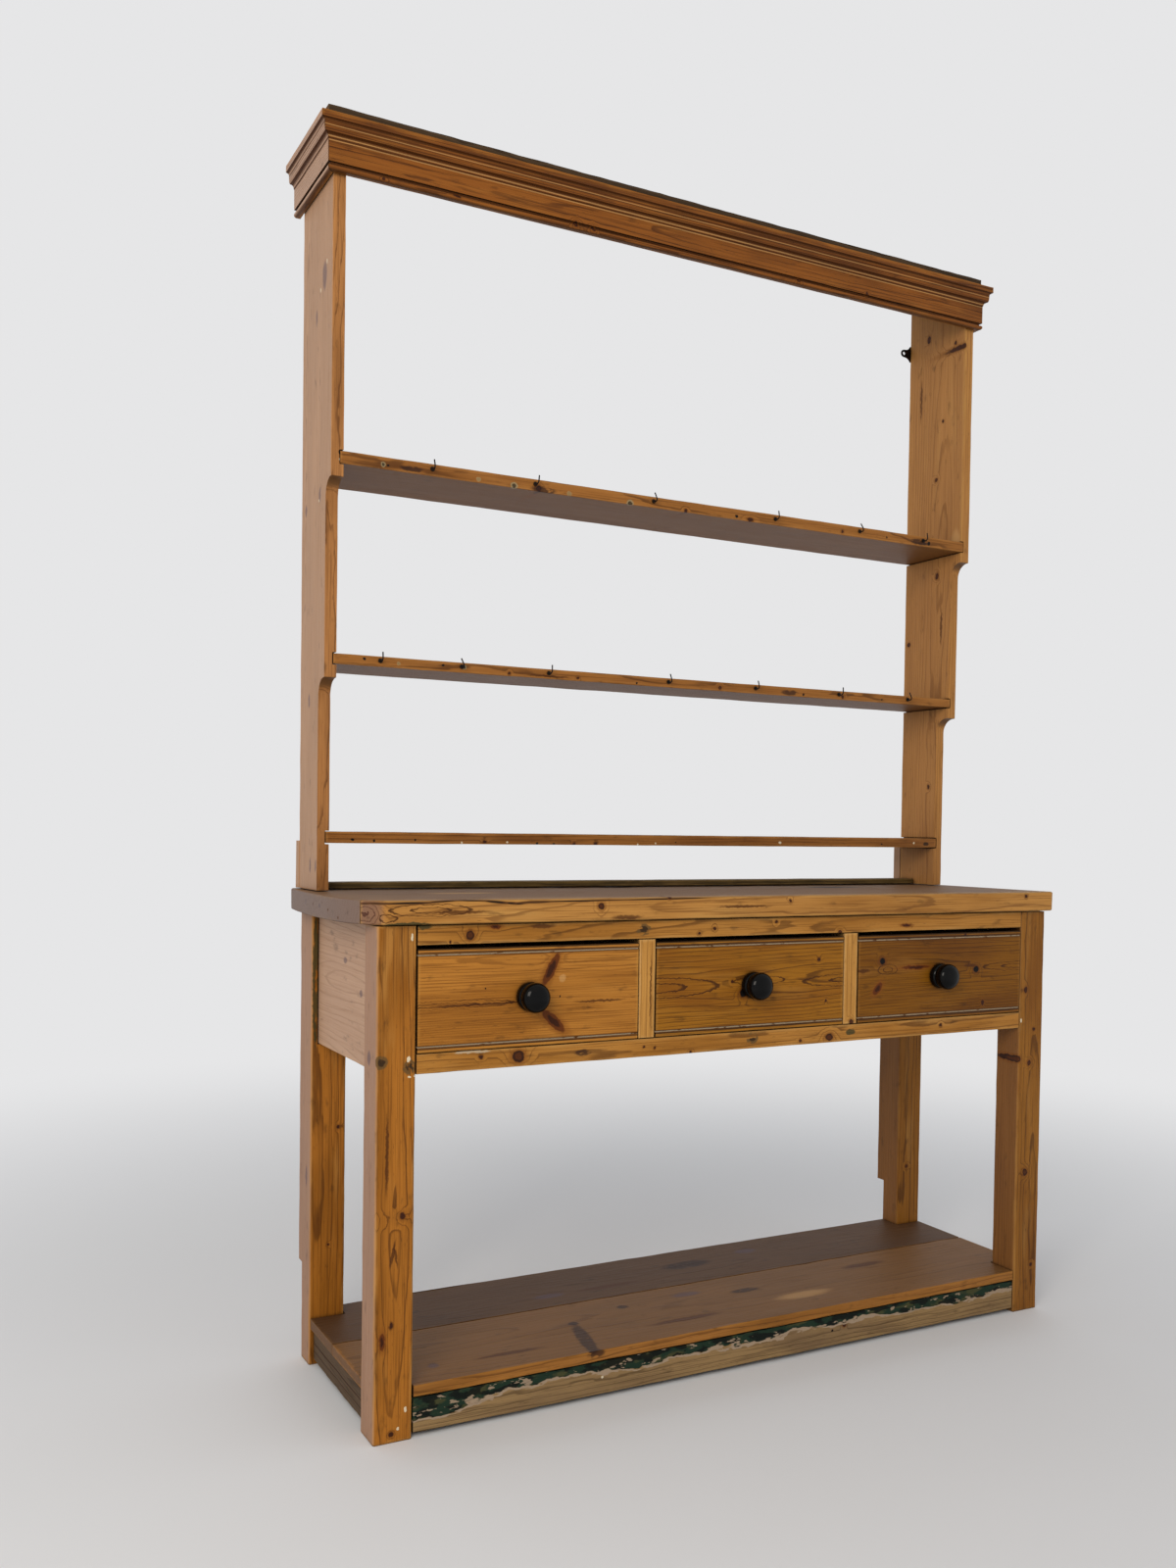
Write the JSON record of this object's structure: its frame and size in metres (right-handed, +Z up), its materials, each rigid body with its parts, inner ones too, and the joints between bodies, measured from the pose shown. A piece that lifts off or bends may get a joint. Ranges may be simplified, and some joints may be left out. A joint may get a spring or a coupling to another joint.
{
  "type": "welsh dresser",
  "caption": "Old pine dresser: open stepped plate rack with shelves and cornice on a base with sliding drawers and a pot board.",
  "frame": {"origin": "on the floor, in the middle of the dresser's own box", "axes": "+X to the dresser's right as seen from the front, +Y to the wall, +Z up"},
  "size_m": [1.4494, 0.46, 2.1226],
  "materials": {
    "old_pine": "waxed, worn",
    "scrubbed_pine": "scrubbed and stained",
    "dark_pine": "waxed, dark",
    "inner_pine": "bare",
    "weathered_pine": "bare, with old paint",
    "ebonised_wood": "gloss",
    "black_iron": "blackened"
  },
  "bodies": {
    "carcass": {"leg_front_left": "old_pine", "leg_front_right": "old_pine", "leg_rear_left": "old_pine", "leg_rear_right": "old_pine", "rail_front_top": "old_pine", "rail_front_lower": "old_pine", "side_panel_left": "old_pine", "side_panel_right": "old_pine", "back_board": "inner_pine", "divider_left": "old_pine", "divider_right": "old_pine", "runner_left": "inner_pine", "runner_right": "inner_pine", "runner_middle_left": "inner_pine", "runner_middle_right": "inner_pine", "drawer_stop_left": "inner_pine", "drawer_stop_middle": "inner_pine", "drawer_stop_right": "inner_pine", "base_top": "scrubbed_pine", "base_top_lipping": "old_pine", "pot_board_front": "scrubbed_pine", "pot_board_rear": "scrubbed_pine", "pot_rail_front": "weathered_pine", "pot_rail_rear": "weathered_pine", "pot_rail_left": "weathered_pine", "pot_rail_right": "weathered_pine", "stile_left": "old_pine", "stile_right": "old_pine", "shelf_top": "old_pine", "shelf_middle": "old_pine", "shelf_low": "old_pine", "rack_tie_rail": "dark_pine", "wall_packer_left": "old_pine", "wall_packer_right": "old_pine", "cornice_front": "dark_pine", "cornice_return_left": "dark_pine", "cornice_return_right": "dark_pine", "rack_cap": "dark_pine", "hanging_plate": "black_iron"},
    "drawer_left": {"drawer_left_front": "old_pine", "drawer_left_side_left": "inner_pine", "drawer_left_side_right": "inner_pine", "drawer_left_back": "inner_pine", "drawer_left_bottom": "inner_pine", "drawer_left_knob": "ebonised_wood"},
    "drawer_middle": {"drawer_middle_front": "old_pine", "drawer_middle_side_left": "inner_pine", "drawer_middle_side_right": "inner_pine", "drawer_middle_back": "inner_pine", "drawer_middle_bottom": "inner_pine", "drawer_middle_knob": "ebonised_wood"},
    "drawer_right": {"drawer_right_front": "old_pine", "drawer_right_side_left": "inner_pine", "drawer_right_side_right": "inner_pine", "drawer_right_back": "inner_pine", "drawer_right_bottom": "inner_pine", "drawer_right_knob": "ebonised_wood"}
  },
  "joints": [
    {"name": "drawer_left_slide", "type": "slide", "parent": "carcass", "child": "drawer_left", "axis": [0, -1, 0], "range_m": [0, 0.28]},
    {"name": "drawer_middle_slide", "type": "slide", "parent": "carcass", "child": "drawer_middle", "axis": [0, -1, 0], "range_m": [0, 0.28]},
    {"name": "drawer_right_slide", "type": "slide", "parent": "carcass", "child": "drawer_right", "axis": [0, -1, 0], "range_m": [0, 0.28]}
  ]
}
